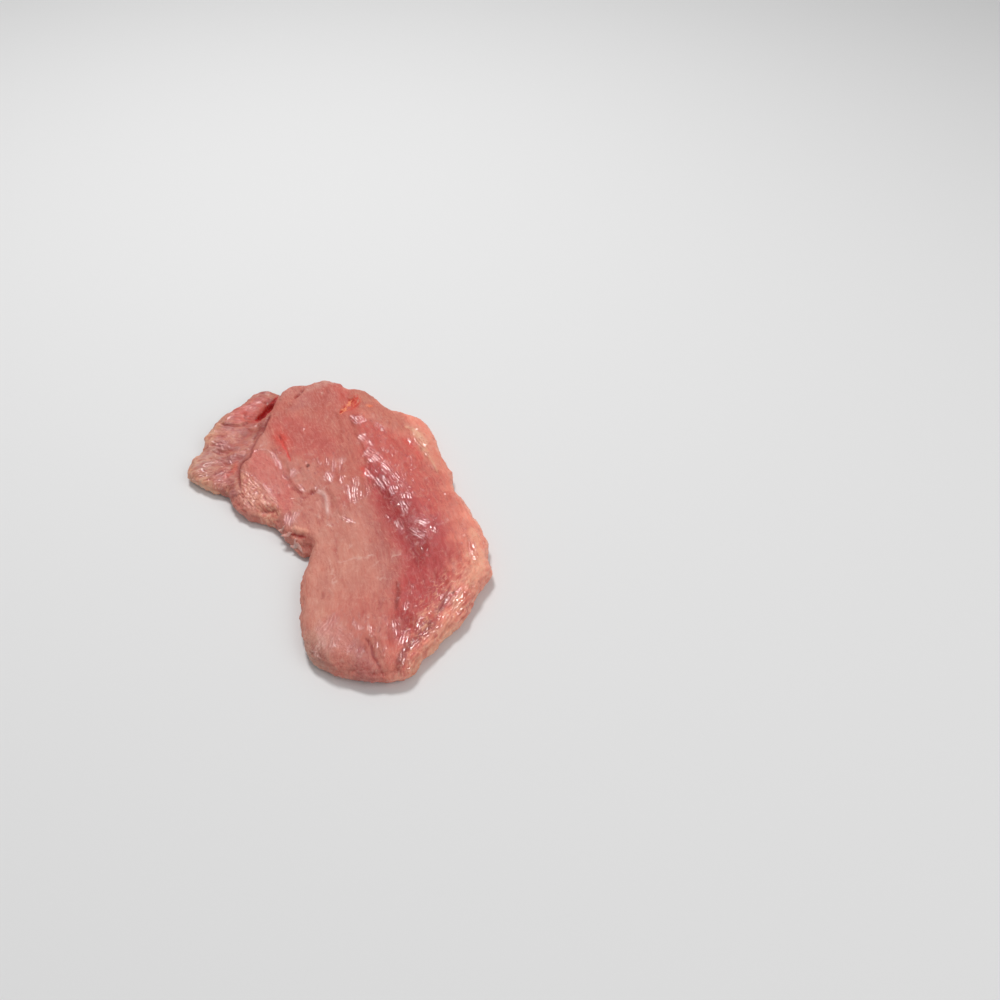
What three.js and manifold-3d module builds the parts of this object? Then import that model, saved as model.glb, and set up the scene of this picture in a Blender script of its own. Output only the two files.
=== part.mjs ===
// A raw pork schnitzel: one thin slice of lean pork, uncoated, lying flat on its underside.
// Millimetres, +Z up. X runs across the slice and Y along it, from the rounded near end to the far end.
// The origin is on the surface that the slice rests on, under the middle of its outline.
import * as THREE from 'three';
import { mergeVertices } from 'three/addons/utils/BufferGeometryUtils.js';
import Module from 'manifold-3d';

// Driving dimensions of the slice
const THICKNESS = 9.2; // the main muscle, as cut
const SIDE_THICKNESS = 6.6; // the thinner muscle that hangs on beside it
const FOLD_THICKNESS = 8.2; // the far end of that muscle, rolled up into a fold
const TAG_THICKNESS = 4.6; // the ragged tag in the notch
const RIM_WIDTH = 5.0; // how far in from the outline the upper edge is rounded
const RIM_UNDERCUT = 3.0; // how far in the lower edge is rounded
const WIDEST_LEVEL = 0.4; // height of the widest line of the edge, as a share of the thickness
const BEVEL_WIDTH = 10.0; // extra width of the edge where the knife ran out at a slant

// Outlines seen from above, clockwise from the far left. Each is a smooth closed curve through its points.
const MAIN_OUTLINE = [
  [-35.5, 77.5], [-33, 81], [-29, 84.4], [-25, 83], [-20, 84.8], [-14, 87], [-8, 85.6], [-2, 82.2],
  [6, 80.6], [10.5, 76], [18, 67.6], [27, 62.8], [36, 58.4], [39.5, 52], [43.5, 38.5], [49.5, 25],
  [51, 14], [57, 4.5], [62, -6], [66.2, -16.5], [67, -26.5], [68.7, -33], [66.2, -38.4],
  [62.4, -45.3], [60.2, -52.8], [55.6, -61.2], [53, -62.6], [51.3, -65.8], [47.6, -70.8], [42.3, -77.2],
  [40.2, -81.3], [34.3, -85.8], [32, -84.9], [28.2, -86.2], [18, -84.6], [10, -82.3], [4, -78.8],
  [-0.8, -72.4], [-3.5, -65.5], [-5.9, -52], [-7.1, -40], [-6.2, -31.5], [-5, -24], [-5.2, -19.8],
  [-8.5, -19.8], [-13, -18.8], [-17, -16], [-20, -13], [-22.8, -7.9], [-27.5, -5.4], [-36.8, -3.2],
  [-39.5, -0.8], [-43.3, 3.5], [-46.4, 9.4], [-45.8, 18], [-45.6, 26], [-43.4, 31], [-43.4, 39],
  [-41, 49], [-42, 56], [-38.4, 62.5], [-36.6, 69],
];
const SIDE_OUTLINE = [
  [-66, 33.4], [-64.7, 39.5], [-65.2, 44.5], [-64.8, 49.5], [-61, 56], [-52, 64], [-42, 71], [-35, 70],
  [-33, 56], [-33, 40], [-35, 24], [-38, 8.6], [-44, 8], [-49, 11.9], [-54, 13], [-58, 15], [-62, 16.9],
  [-66.5, 20.1], [-69, 23.8], [-68.3, 28], [-68.4, 31.4],
];
const FOLD_OUTLINE = [
  [-63.8, 52], [-61.2, 57], [-57.8, 62.4], [-51.8, 70.2], [-49.4, 76.8], [-46.2, 79.5], [-41.6, 79.9],
  [-37.4, 79.6], [-35, 76], [-36.8, 71.5], [-40.6, 64.5], [-45, 58], [-50, 52.5], [-57, 49], [-62.5, 48.8],
];
const TAG_OUTLINE = [
  [-15.5, -17], [-12, -11], [-2, -12], [2, -18], [-2, -22.5], [-6.4, -23.4], [-8.8, -24],
  [-11.4, -22.6], [-13.6, -20.4],
];

// The middle line of each muscle, which its rows of facets close in on
const MAIN_SPINE = [[-12, 64], [-2, 40], [6, 12], [24, -14], [31, -35], [25, -62]];
const SIDE_SPINE = [[-44, 60], [-50, 46], [-50, 34], [-49, 26]];
const FOLD_SPINE = [[-56, 55], [-50, 62], [-43, 72]];
const TAG_SPINE = [[-9, -17.5], [-4, -17.5]];

// Relief on the top face. A seam is a groove where it is deeper than 0 and a swelling where it is less.
const seam = (depth, halfWidth, ...path) => ({ depth, halfWidth, path });
const MAIN_RELIEF = [
  seam(1.7, 2.6, [-2.5, 63], [2, 50], [6, 41], [10.5, 24], [14.5, 9]), // seam below the torn membrane
  seam(0.9, 2.4, [-6.8, 59], [-1.6, 42]), // shorter seam beside it
  seam(1.3, 10, [20, 4], [34, -22], [38, -48]), // broad hollow of the darker lean
  seam(1.2, 2.6, [41, 25], [47, 12], [54.5, -10], [58.5, -30], [53, -50], [45, -67]), // inside the edge roll
  seam(-0.9, 4, [46, 22], [53, 2], [60, -20], [62, -35], [56, -50]), // the edge roll
  seam(0.8, 2.5, [30.7, -41], [32, -52], [30.5, -62]), // short dark seam
  seam(1.8, 2.4, [23, -72], [27, -80], [30.5, -88]), // fold at the near edge
  seam(-0.8, 14, [14, -60], [20, -68]), // the near end swells
  seam(1.5, 3, [-9, 7], [-5, 6], [-2.5, -1]), // pit under the curved membrane
  seam(1.0, 2.6, [-35, 34], [-28.5, 27], [-24.5, 17]), // seam beside the blood vessel
  seam(2.0, 3, [-28, -3.5], [-21, -9.5]), // hollow in the slanting edge
  seam(-1.3, 15, [-22, 68], [-12, 70]), // the far end swells
  seam(1.4, 2.2, [-4.5, 84], [-4, 76], [-1, 70]), // between the far swelling and the small corner lobe
  seam(1.5, 3.5, [-3, 68], [3, 63]), // the torn membrane's hollow
  seam(1.4, 2, [-9, -21], [-3.5, -17.5]), // slit over the notch
];
const SIDE_RELIEF = [
  seam(3.4, 2.3, [-43.5, 58], [-39.5, 64], [-37, 70]), // slit between the fold and the main muscle
  seam(0.8, 2.2, [-63, 38], [-57, 35], [-51, 33.5], [-46, 31]), // wrinkles of the thin muscle
  seam(0.7, 2.0, [-60, 30], [-54, 28.5], [-49, 24.5]),
  seam(0.6, 2.0, [-59, 46], [-53, 42], [-48, 38]),
  seam(-0.7, 5, [-60, 23], [-58, 24]),
];
const NO_RELIEF = [];

// Unevenness of hand-cut meat: slow waves over the whole face, in millimetres
const WAVE_HEIGHT = 0.35;
const WAVE_LENGTH = 31;
const unevenness = (x, y) => WAVE_HEIGHT * (
  Math.sin((x + 0.6 * y) * 2 * Math.PI / WAVE_LENGTH + 0.7)
  + Math.sin((0.8 * x - y) * 2 * Math.PI / (1.37 * WAVE_LENGTH) + 2.1));

// How much wider the rounded edge is at a place: only beside the slanting cut at the left
const BEVEL_CENTRE = [-36, -2];
const BEVEL_REACH = 17;
const bevelAt = (x, y) => {
  const away = Math.hypot(x - BEVEL_CENTRE[0], y - BEVEL_CENTRE[1]) / BEVEL_REACH;
  return BEVEL_WIDTH * Math.exp(-away * away);
};

const EDGE_SPACING = 3.6; // length of a facet along the outline
const ROW_SPACING = 2.9; // width of a row of facets across the face
const ROUND_STEPS = 4; // rows of facets on the rounded upper edge
const UNDER_STEPS = 2; // rows on the rounded lower edge
const LAST_ROW = 0.93; // the rows stop this share of the way to the middle line
const FEWEST_FACETS = 28; // round the outline of the smallest piece
const SPREAD = 1 / 22; // share of the outline over which places on the middle line even out

function distanceToPath(x, y, path, closed) {
  let nearest = Infinity;
  const last = closed ? path.length : path.length - 1;
  for (let i = 0; i < last; i += 1) {
    const [ax, ay] = path[i];
    const [bx, by] = path[(i + 1) % path.length];
    const lengthSquared = (bx - ax) ** 2 + (by - ay) ** 2;
    const along = ((x - ax) * (bx - ax) + (y - ay) * (by - ay)) / lengthSquared;
    const share = Math.min(1, Math.max(0, along));
    nearest = Math.min(nearest, Math.hypot(x - ax - share * (bx - ax), y - ay - share * (by - ay)));
  }
  return nearest;
}

function reliefAt(x, y, seams) {
  let height = 0;
  for (const { depth, halfWidth, path } of seams) {
    const away = distanceToPath(x, y, path, false) / halfWidth;
    height -= depth * Math.exp(-away * away);
  }
  return height;
}

function smoothLine(points, closed, spacing) {
  const nodes = points.map(([x, y]) => new THREE.Vector3(x, y, 0));
  const curve = new THREE.CatmullRomCurve3(nodes, closed, 'centripetal');
  const count = Math.max(closed ? FEWEST_FACETS : 2, Math.round(curve.getLength() / spacing));
  const line = curve.getSpacedPoints(count).map((p) => [p.x, p.y]);
  return closed ? line.slice(0, count) : line;
}

// For each place on the outline, the place on the middle line that its row of facets runs to
function feetOnSpine(edge, spine) {
  const reach = Math.ceil(SPREAD * edge.length);
  const nearest = edge.map(([x, y]) => {
    const gaps = spine.map(([sx, sy]) => Math.hypot(x - sx, y - sy));
    return gaps.indexOf(Math.min(...gaps));
  });
  return nearest.map((_, i) => {
    let sum = 0;
    for (let k = -reach; k <= reach; k += 1) {
      sum += nearest[(i + k + edge.length) % edge.length];
    }
    const place = sum / (2 * reach + 1);
    const low = Math.min(spine.length - 2, Math.floor(place));
    const share = place - low;
    const [x, y] = spine[low].map((c, axis) => c + share * (spine[low + 1][axis] - c));
    return { place, x, y };
  });
}

// A muscle: a thin pad with a flat underside, rounded edges and relief on its top face
function muscle(outline, middle, thickness, seams) {
  const edge = smoothLine(outline, true, EDGE_SPACING);
  const feet = feetOnSpine(edge, smoothLine(middle, false, 1));
  const widest = WIDEST_LEVEL * thickness;
  const count = edge.length;
  const positions = [];
  const triangles = [];

  const inward = (i, far) => {
    const [x, y] = edge[i];
    return [x + far * (feet[i].x - x), y + far * (feet[i].y - y)];
  };
  const rowLength = (i) => Math.hypot(feet[i].x - edge[i][0], feet[i].y - edge[i][1]);
  const topAt = (x, y) => {
    const inset = distanceToPath(x, y, edge, true);
    const rim = Math.min(1, inset / (RIM_WIDTH + bevelAt(x, y)));
    const roundness = Math.sqrt(1 - (1 - rim) ** 2);
    const body = thickness - widest + reliefAt(x, y, seams) + unevenness(x, y);
    return widest + body * roundness;
  };

  const addRow = (farAt, levelAt) => {
    const start = positions.length / 3;
    for (let i = 0; i < count; i += 1) {
      const [x, y] = inward(i, farAt(i));
      positions.push(x, y, levelAt(x, y));
    }
    return start;
  };
  const joinRows = (outer, inner, facesUp) => {
    for (let i = 0; i < count; i += 1) {
      const next = (i + 1) % count;
      const quad = [outer + i, outer + next, inner + next, inner + i];
      if (!facesUp) quad.reverse();
      const [a, b, c, d] = quad;
      triangles.push(a, c, b, a, d, c);
    }
  };
  // The flat underside is closed by one sheet of facets
  const closeUnderside = (start) => {
    const loop = [];
    for (let i = 0; i < count; i += 1) {
      loop.push(new THREE.Vector2(positions[3 * (start + i)], positions[3 * (start + i) + 1]));
    }
    for (const [a, b, c] of THREE.ShapeUtils.triangulateShape(loop, [])) {
      const [ab, ac] = [loop[b].clone().sub(loop[a]), loop[c].clone().sub(loop[a])];
      const facesDown = ab.cross(ac) < 0;
      triangles.push(start + a, ...(facesDown ? [start + b, start + c] : [start + c, start + b]));
    }
  };
  // The top is closed along the middle line by facets between its two sides
  const closeMiddle = (start) => {
    const places = feet.map((foot) => foot.place);
    const first = places.indexOf(Math.min(...places));
    const last = places.indexOf(Math.max(...places));
    const at = (i) => [0, 1, 2].map((axis) => positions[3 * (start + i) + axis]);
    const gap = (i, k) => new THREE.Vector3(...at(i)).distanceTo(new THREE.Vector3(...at(k)));
    let right = (first + 1) % count;
    let left = (first - 1 + count) % count;
    triangles.push(start + first, start + left, start + right);
    while (right !== last || left !== last) {
      const nextRight = (right + 1) % count;
      const nextLeft = (left - 1 + count) % count;
      const stepRight = left === last || (right !== last && gap(nextRight, left) < gap(right, nextLeft));
      const next = stepRight ? nextRight : nextLeft;
      if (next !== (stepRight ? left : right)) {
        triangles.push(start + right, start + left, start + next);
      }
      if (stepRight) right = next;
      else left = next;
    }
  };

  const rimRow = addRow(() => 0, () => widest);
  const longest = Math.max(...edge.map((_, i) => rowLength(i)));
  const roundedFar = (share) => (i) => Math.min(0.6 * share, share * RIM_WIDTH / rowLength(i));
  let outer = rimRow;
  for (let step = 1; step <= ROUND_STEPS; step += 1) {
    const share = 1 - Math.cos(step / ROUND_STEPS * Math.PI / 2);
    const row = addRow(roundedFar(share), topAt);
    joinRows(outer, row, true);
    outer = row;
  }
  const rows = Math.ceil((longest - RIM_WIDTH) / ROW_SPACING);
  for (let step = 1; step <= rows; step += 1) {
    const start = roundedFar(1);
    const row = addRow((i) => start(i) + (LAST_ROW - start(i)) * step / rows, topAt);
    joinRows(outer, row, true);
    outer = row;
  }
  closeMiddle(outer);

  outer = rimRow;
  for (let step = 1; step <= UNDER_STEPS; step += 1) {
    const turn = step / UNDER_STEPS * Math.PI / 2;
    const far = (i) => Math.min(0.5, (1 - Math.cos(turn)) * RIM_UNDERCUT / rowLength(i));
    const row = addRow(far, () => widest * (1 - Math.sin(turn)));
    joinRows(outer, row, false);
    outer = row;
  }
  closeUnderside(outer);

  return { positions, triangles };
}

const wasm = await Module();
wasm.setup();

function toSolid({ positions, triangles }) {
  return new wasm.Manifold(new wasm.Mesh({
    numProp: 3,
    vertProperties: new Float32Array(positions),
    triVerts: new Uint32Array(triangles),
  }));
}

function toGeometry(solid) {
  const { vertProperties, triVerts } = solid.getMesh();
  const geometry = new THREE.BufferGeometry();
  geometry.setAttribute('position', new THREE.BufferAttribute(vertProperties, 3));
  geometry.setIndex(new THREE.BufferAttribute(triVerts, 1));
  return mergeVertices(geometry);
}

// Puts the origin under the middle of the shape's outline
function centred(geometry) {
  geometry.computeBoundingBox();
  const middle = geometry.boundingBox.getCenter(new THREE.Vector3());
  return geometry.translate(-middle.x, -middle.y, 0);
}

// The muscles grow together into one slice
const slice = toSolid(muscle(MAIN_OUTLINE, MAIN_SPINE, THICKNESS, MAIN_RELIEF))
  .add(toSolid(muscle(SIDE_OUTLINE, SIDE_SPINE, SIDE_THICKNESS, SIDE_RELIEF)))
  .add(toSolid(muscle(FOLD_OUTLINE, FOLD_SPINE, FOLD_THICKNESS, NO_RELIEF)))
  .add(toSolid(muscle(TAG_OUTLINE, TAG_SPINE, TAG_THICKNESS, NO_RELIEF)));

const rawPork = new THREE.MeshStandardMaterial({ color: 0xc98a7c, roughness: 0.42, metalness: 0 });
const schnitzel = new THREE.Mesh(centred(toGeometry(slice)), rawPork);
schnitzel.name = 'schnitzel';

const part = new THREE.Group();
part.add(schnitzel);

export default part;
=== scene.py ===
import math

import bmesh
import bpy
import numpy as np
from mathutils import Euler, Matrix, Vector, noise


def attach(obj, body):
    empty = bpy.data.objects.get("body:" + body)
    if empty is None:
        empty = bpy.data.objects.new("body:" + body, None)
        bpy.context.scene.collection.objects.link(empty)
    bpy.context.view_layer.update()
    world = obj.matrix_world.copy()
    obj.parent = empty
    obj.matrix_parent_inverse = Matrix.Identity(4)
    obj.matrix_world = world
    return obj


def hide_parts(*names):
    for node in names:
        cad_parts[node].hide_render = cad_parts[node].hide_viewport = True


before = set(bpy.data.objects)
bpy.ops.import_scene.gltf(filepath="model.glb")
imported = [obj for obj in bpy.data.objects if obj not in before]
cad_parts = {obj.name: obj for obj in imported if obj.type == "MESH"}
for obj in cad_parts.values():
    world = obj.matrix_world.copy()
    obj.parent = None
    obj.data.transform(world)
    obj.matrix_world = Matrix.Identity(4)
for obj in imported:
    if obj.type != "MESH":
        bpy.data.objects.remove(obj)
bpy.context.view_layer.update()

MM = 0.001


# The view
# A camera at the photograph's place, looking down at the slice from its near side, a little to its right.
# Its place, tilt and roll were fitted to the photograph once, and the lens is the one that fits with them.
CAMERA_PLACE = Vector((71.6, -295.15, 303.56)) * MM
CAMERA_PITCH = math.radians(44.56)
CAMERA_ROLL = math.radians(0.853)
FOCAL_PIXELS = 980.0
FRAME_PIXELS = 1000.0
SENSOR = 36.0

camera_data = bpy.data.cameras.new("camera")
camera_data.sensor_width = SENSOR
camera_data.lens = FOCAL_PIXELS / FRAME_PIXELS * SENSOR
camera_data.clip_start = 0.01
camera = bpy.data.objects.new("camera", camera_data)
bpy.context.scene.collection.objects.link(camera)
tilt = Euler((math.pi / 2 - CAMERA_PITCH, 0, 0)).to_matrix().to_4x4()
camera.matrix_world = Matrix.Translation(CAMERA_PLACE) @ tilt @ Matrix.Rotation(CAMERA_ROLL, 4, "Z")
bpy.context.scene.camera = camera


# The slice
# One raw slice of lean pork, soft and moist. Its form is the solid's, remade as a fine even skin of small
# faces, relaxed until no flat facet is left and grown again by what that shrinks it. The flat underside is
# filled with large faces.
SKIN_FACE = 0.49 * MM
RELAX_ROUNDS = 26
RELAX_SHARE = 0.5
REGAINED = 0.12 * MM
FLAT_LEVEL = 0.02 * MM
REST_LEVEL = 3 * FLAT_LEVEL


def numbers_of(collection, name, width):
    """One property of every element of a mesh, as rows of numbers."""
    kind = np.int32 if name == "vertices" else np.float64
    found = np.empty(len(collection) * width, dtype=kind)
    collection.foreach_get(name, found)
    return found.reshape(-1, width)


def put_places(mesh, places):
    """Moves the vertices of a mesh to new places."""
    mesh.vertices.foreach_set("co", places.astype(np.float32).ravel())
    mesh.update()


def relaxed(values, edges, rounds, share):
    """Each vertex moves a share of the way to the middle of its neighbours, several times over."""
    ends = np.concatenate([edges[:, 0], edges[:, 1]])
    others = np.concatenate([edges[:, 1], edges[:, 0]])
    count = np.bincount(ends, minlength=len(values))[:, None]
    for _ in range(rounds):
        middle = np.stack([np.bincount(ends, column[others], len(values)) for column in values.T], 1)
        values = values + share * (middle / count - values)
    return values


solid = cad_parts["schnitzel"]
meat = bpy.data.objects.new("pork_slice", solid.data.copy())
bpy.context.scene.collection.objects.link(meat)
skin = meat.modifiers.new("skin", "REMESH")
skin.mode = "VOXEL"
skin.voxel_size = SKIN_FACE
graph = bpy.context.evaluated_depsgraph_get()
skin_mesh = bpy.data.meshes.new_from_object(meat.evaluated_get(graph), depsgraph=graph)
meat.modifiers.clear()
meat.data = skin_mesh

places = numbers_of(skin_mesh.vertices, "co", 3)
places = relaxed(places, numbers_of(skin_mesh.edges, "vertices", 2), RELAX_ROUNDS, RELAX_SHARE)
put_places(skin_mesh, places)
places = places + REGAINED * numbers_of(skin_mesh.vertices, "normal", 3)
places[:, 2] = np.where(places[:, 2] < REST_LEVEL, 0, places[:, 2])
put_places(skin_mesh, places)

cut = bmesh.new()
cut.from_mesh(skin_mesh)
flat = [f for f in cut.faces if all(v.co.z < FLAT_LEVEL for v in f.verts)]
bmesh.ops.delete(cut, geom=flat, context="FACES")
border = [e for e in cut.edges if e.is_boundary]
bmesh.ops.triangle_fill(cut, use_beauty=True, edges=border, normal=(0, 0, -1))
bmesh.ops.delete(cut, geom=[v for v in cut.verts if not v.link_faces], context="VERTS")
bmesh.ops.recalc_face_normals(cut, faces=cut.faces)
cut.to_mesh(skin_mesh)
cut.free()
skin_mesh.update()

place = numbers_of(skin_mesh.vertices, "co", 3) / MM
facing = numbers_of(skin_mesh.vertices, "normal", 3)
skin_edges = numbers_of(skin_mesh.edges, "vertices", 2)


def eased(values, low, high):
    """0 below low, 1 above high, and a smooth rise between."""
    share = np.clip((values - low) / (high - low), 0, 1)
    return share * share * (3 - 2 * share)


# How much each place is off the resting surface, on the top face, and on the rounded edge, from 0 to 1.
aloft = eased(place[:, 2], 0.15, 1.4)
upper = eased(facing[:, 2], 0.15, 0.75) * aloft
rim = aloft * (1 - eased(facing[:, 2], 0.35, 0.9))
height = np.zeros(len(place))


# The fibres
# Lean meat is bundles of fibres, here cut across on the slant. In the long muscle they run from the far end
# towards the near one and a little to the right. Past the flap's crease they run out to the flap's tip.
FLAP_CREASE = [(-36.6, 59.5), (-37.5, 55.4), (-38.3, 50.9), (-38.6, 47.0), (-39.7, 43.0), (-41.3, 36.2),
               (-40.8, 29.6), (-43.6, 25.8), (-43.8, 20.0), (-41.9, 12.4), (-40.0, 6.5)]
SLIT = [(-44.4, 58.6), (-41.7, 61.4), (-39.2, 65.6), (-37.4, 70.4), (-36.4, 75.2)]
FLAP_FOOT = (-54.0, 3.5)
LONG_LEAN = 0.46
NEAR_LEAN = 0.16
LEAN_TURNS_AT = -30.0
LEAN_TURNS_OVER = 14.0
ALONG_LEAN = 0.3
FLAP_LEAN = math.radians(-1.0)
FINER = 2.1
RIDGE_FALL = 2.2

seam = np.array([FLAP_FOOT, *reversed(FLAP_CREASE), *SLIT[2:]])
flap_side = np.interp(place[:, 1], seam[:, 1], seam[:, 0])


def fibre_frame():
    """Where each place lies across and along the fibres, in mm."""
    x, y, z = place.T
    beyond = LEAN_TURNS_OVER * np.logaddexp(0, (y - LEAN_TURNS_AT) / LEAN_TURNS_OVER)
    across = x + NEAR_LEAN * y + (LONG_LEAN - NEAR_LEAN) * beyond
    along = y - ALONG_LEAN * x
    flap_across = y * math.cos(FLAP_LEAN) + x * math.sin(FLAP_LEAN)
    flap_along = x * math.cos(FLAP_LEAN) - y * math.sin(FLAP_LEAN)
    flap = x < flap_side
    return np.stack([np.where(flap, flap_across, across), np.where(flap, flap_along, along), z], 1)


def mottled(points, cell, octaves, seed):
    """Smooth noise from about -1 to 1, with lumps of a cell's size along each axis."""
    scaled = (points / np.asarray(cell) + seed).tolist()
    return np.array([noise.fractal(Vector(p), 1.0, FINER, octaves) for p in scaled])


def ridged(points, cell, seed):
    """Sharp ridges, 1 at their tops, where smooth noise passes zero."""
    return 1 - np.abs(mottled(points, cell, 2, seed)) * RIDGE_FALL


fibre = fibre_frame()
wander = np.stack([mottled(place, 9.0, 2, seed) for seed in (3.1, 7.7, 12.9)], 1) * (0.9, 2.0, 0.5)
fibre = fibre + wander
drift = mottled(place, (7.0, 7.0, 12.0), 3, 61.0)


def oval(centre, radii, turn=0.0, soft=0.5, ragged=0.0):
    """1 inside an oval on the surface, 0 outside, soft at its edge. The turn is in degrees."""
    angle = math.radians(turn)
    off = place[:, :2] - centre
    across = (off @ (math.cos(angle), math.sin(angle))) / radii[0]
    along = (off @ (-math.sin(angle), math.cos(angle))) / radii[1]
    span = np.hypot(across, along) + ragged * drift
    return 1 - eased(span, 1 - soft, 1 + soft)


# Each line adds lumps or ridges of one size: how high in mm, where, and how far apart along each axis. The
# near lobe and the far left were cut clean, and are calmer.
calm = np.maximum(oval((4, -42), (22, 30), 0, 0.3, 0.2), 0.8 * oval((-16, 52), (18, 22), 20, 0.4, 0.2))
rough = upper * (1 - 0.72 * calm)
height += 0.7 * upper * mottled(place, (16.0, 19.0, 30.0), 2, 21.0)
height += 0.42 * rough * mottled(place, (6.0, 8.0, 20.0), 2, 33.0)
height += 0.4 * upper * mottled(fibre, (5.0, 17.0, 6.0), 2, 17.0)
height += 0.16 * rough * ridged(fibre, (3.4, 9.0, 3.4), 5.0)
height += 0.12 * rough * ridged(fibre, (1.9, 5.0, 1.9), 9.0)
height += 0.9 * rim * mottled(place, (5.0, 5.0, 3.2), 3, 41.0)
height += 0.16 * rim * ridged(place, (3.0, 3.0, 2.0), 51.0)
rim_strands = ridged(place, (1.3, 1.3, 5.0), 57.0)
height += 0.14 * rim * rim_strands
on_flap = eased(flap_side - place[:, 0], -1, 4)
height += 0.5 * rough * on_flap * mottled(fibre, (2.8, 8.0, 4.0), 2, 81.0)
height += 0.26 * rough * on_flap * ridged(fibre, (1.9, 5.0, 3.0), 85.0)


def turned(degrees, points=place):
    """Where places lie across and along a direction, in mm. Its angle is counted from the right."""
    angle = math.radians(degrees)
    x, y, z = points.T
    across = x * math.sin(angle) - y * math.cos(angle)
    along = x * math.cos(angle) + y * math.sin(angle)
    return np.stack([across, along, z], 1)


near_rim = aloft * oval((52, -54), (9, 30), -24, 0.5, 0.2)
height += 0.35 * near_rim * mottled(turned(60), (1.8, 4.5, 2.6), 2, 71.0)
height += 0.3 * near_rim * mottled(place, (4.0, 4.0, 4.0), 2, 73.0)


# Seams, folds and tears
# Where one muscle lies against or over another the surface dips, steps or tears. Each is a line across the
# surface, in mm, found on the photograph and laid on the slice's top.


def smooth_line(points, steps=8):
    """A smooth line through the points."""
    points = np.array(points, float)
    ends = np.vstack([2 * points[0] - points[1], points, 2 * points[-1] - points[-2]])
    share = np.linspace(0, 1, steps, endpoint=False)[:, None]
    spans = []
    for a, b, c, d in zip(ends, ends[1:], ends[2:], ends[3:]):
        bend = 2 * a - 5 * b + 4 * c - d
        swing = 3 * b - a - 3 * c + d
        spans.append(b + 0.5 * share * (c - a + share * (bend + share * swing)))
    return np.vstack([*spans, ends[-2]])


def beside(points, reach):
    """The places near a line: which they are, how far to its left, and how far along it from 0 to 1."""
    line = smooth_line(points)
    inside = (place[:, :2] > line.min(0) - reach) & (place[:, :2] < line.max(0) + reach)
    near = np.flatnonzero(inside.all(1) & (aloft > 0))
    step = np.diff(line, axis=0)
    gap = place[near, None, :2] - line[:-1]
    share = np.clip((gap * step).sum(2) / (step ** 2).sum(1), 0, 1)
    gap = gap - share[..., None] * step
    nearest = (gap ** 2).sum(2).argmin(1)
    row = np.arange(len(near))
    gap, share, step = gap[row, nearest], share[row, nearest], step[nearest]
    off = np.copysign(np.hypot(*gap.T), step[:, 0] * gap[:, 1] - step[:, 1] * gap[:, 0])
    return near, off, (nearest + share) / (len(line) - 1)


def faded(along, ends):
    """1 along a line, fading to 0 at both ends."""
    return eased(np.minimum(along, 1 - along), 0, ends)


def groove(points, depth, width, ends=0.2, where=None):
    """A soft dip along a line, or with a depth below zero a ridge."""
    near, off, along = beside(points, 3 * width)
    weight = (upper if where is None else where)[near]
    height[near] -= depth * weight * faded(along, ends) * np.exp(-(off / width) ** 2)


def overlap(points, step, edge, reach, ends=0.15):
    """One layer lying over another: a sharp rise on the left of a line that eases off further left."""
    near, off, along = beside(points, 3 * reach)
    weight = upper[near] * faded(along, ends)
    rise = np.where(off > 0, np.exp(-off / reach) * (1 - np.exp(-np.maximum(off, 0) / edge)), 0)
    dip = np.exp(-(off / edge) ** 2) * 0.5
    height[near] += step * weight * (rise - dip)


def swath(points, widths, soft=0.5, ragged=0.0):
    """1 along a broad band about a line, whose half width changes along it, soft at its edges."""
    near, off, along = beside(points, max(widths) * (1.6 + soft))
    half = np.interp(along, np.linspace(0, 1, len(widths)), widths)
    found = np.zeros(len(place))
    found[near] = 1 - eased(np.abs(off) / half + ragged * drift[near], 1 - soft, 1 + soft)
    return found


def moved(points, across, along):
    """The same line, moved over the surface by some mm."""
    return [(x + across, y + along) for x, y in points]


LOBE_BORDER = [(-59.4, 53.0), (-56.9, 51.4), (-55.1, 51.5), (-52.8, 51.2), (-50.1, 51.8), (-47.2, 53.9),
               (-44.2, 58.6)]
overlap(LOBE_BORDER, 1.1, 0.6, 4.0)
overlap(list(reversed(FLAP_CREASE)), 0.45, 0.8, 4.0, ends=0.2)
groove(FLAP_CREASE[:5], 0.9, 1.1, ends=0.3)
groove(FLAP_CREASE[4:8], 0.5, 0.8, ends=0.4)
groove(FLAP_CREASE[7:], 0.5, 0.9, ends=0.5)
groove(SLIT, 1.0, 1.2, ends=0.45, where=aloft)
groove([(-48.9, 61.5), (-48.2, 58.7), (-47.9, 55.6)], 0.6, 0.7)
groove([(-40.0, 53.5), (-43.4, 50.2), (-45.9, 45.2), (-49.0, 41.8), (-53.4, 38.3)], 1.15, 1.8)
groove([(-51.2, 27.8), (-47.8, 34.9), (-44.7, 38.7), (-41.5, 43.3)], -0.9, 2.0)
for row in range(5):
    drop = np.array((0.5, -2.1)) * row
    wrinkle = [drop + p for p in ((-62.0, 40.2), (-58.6, 38.9), (-55.4, 37.3), (-51.8, 36.4 - 0.5 * row))]
    groove(wrinkle, 0.42, 0.6, ends=0.3)
groove([(-56.2, 18.0), (-52.2, 21.0), (-49.1, 21.8), (-47.0, 25.8)], 0.45, 0.8)
BAND_EDGE = [(-43.6, 21.6), (-37.9, 15.8), (-32.7, 11.5), (-27.2, 5.2), (-21.4, -3.2)]
groove(BAND_EDGE, -0.35, 0.9)
groove([(-31.6, -2.1), (-28.1, -2.9), (-23.6, -3.6), (-21.8, -7.5)], 0.9, 0.9, ends=0.35, where=aloft)
groove([(-33.4, 0.6), (-29.9, 0.5), (-26.8, -0.1), (-22.9, -1.4)], -0.6, 1.2, where=aloft)
VESSEL = [(-30.6, 45.6), (-27.9, 39.9), (-25.6, 34.8), (-22.7, 28.5), (-21.2, 25.0)]
groove(VESSEL, 0.3, 0.6)
groove(moved(VESSEL, 1.3, 0.3), -0.25, 0.6)
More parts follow.
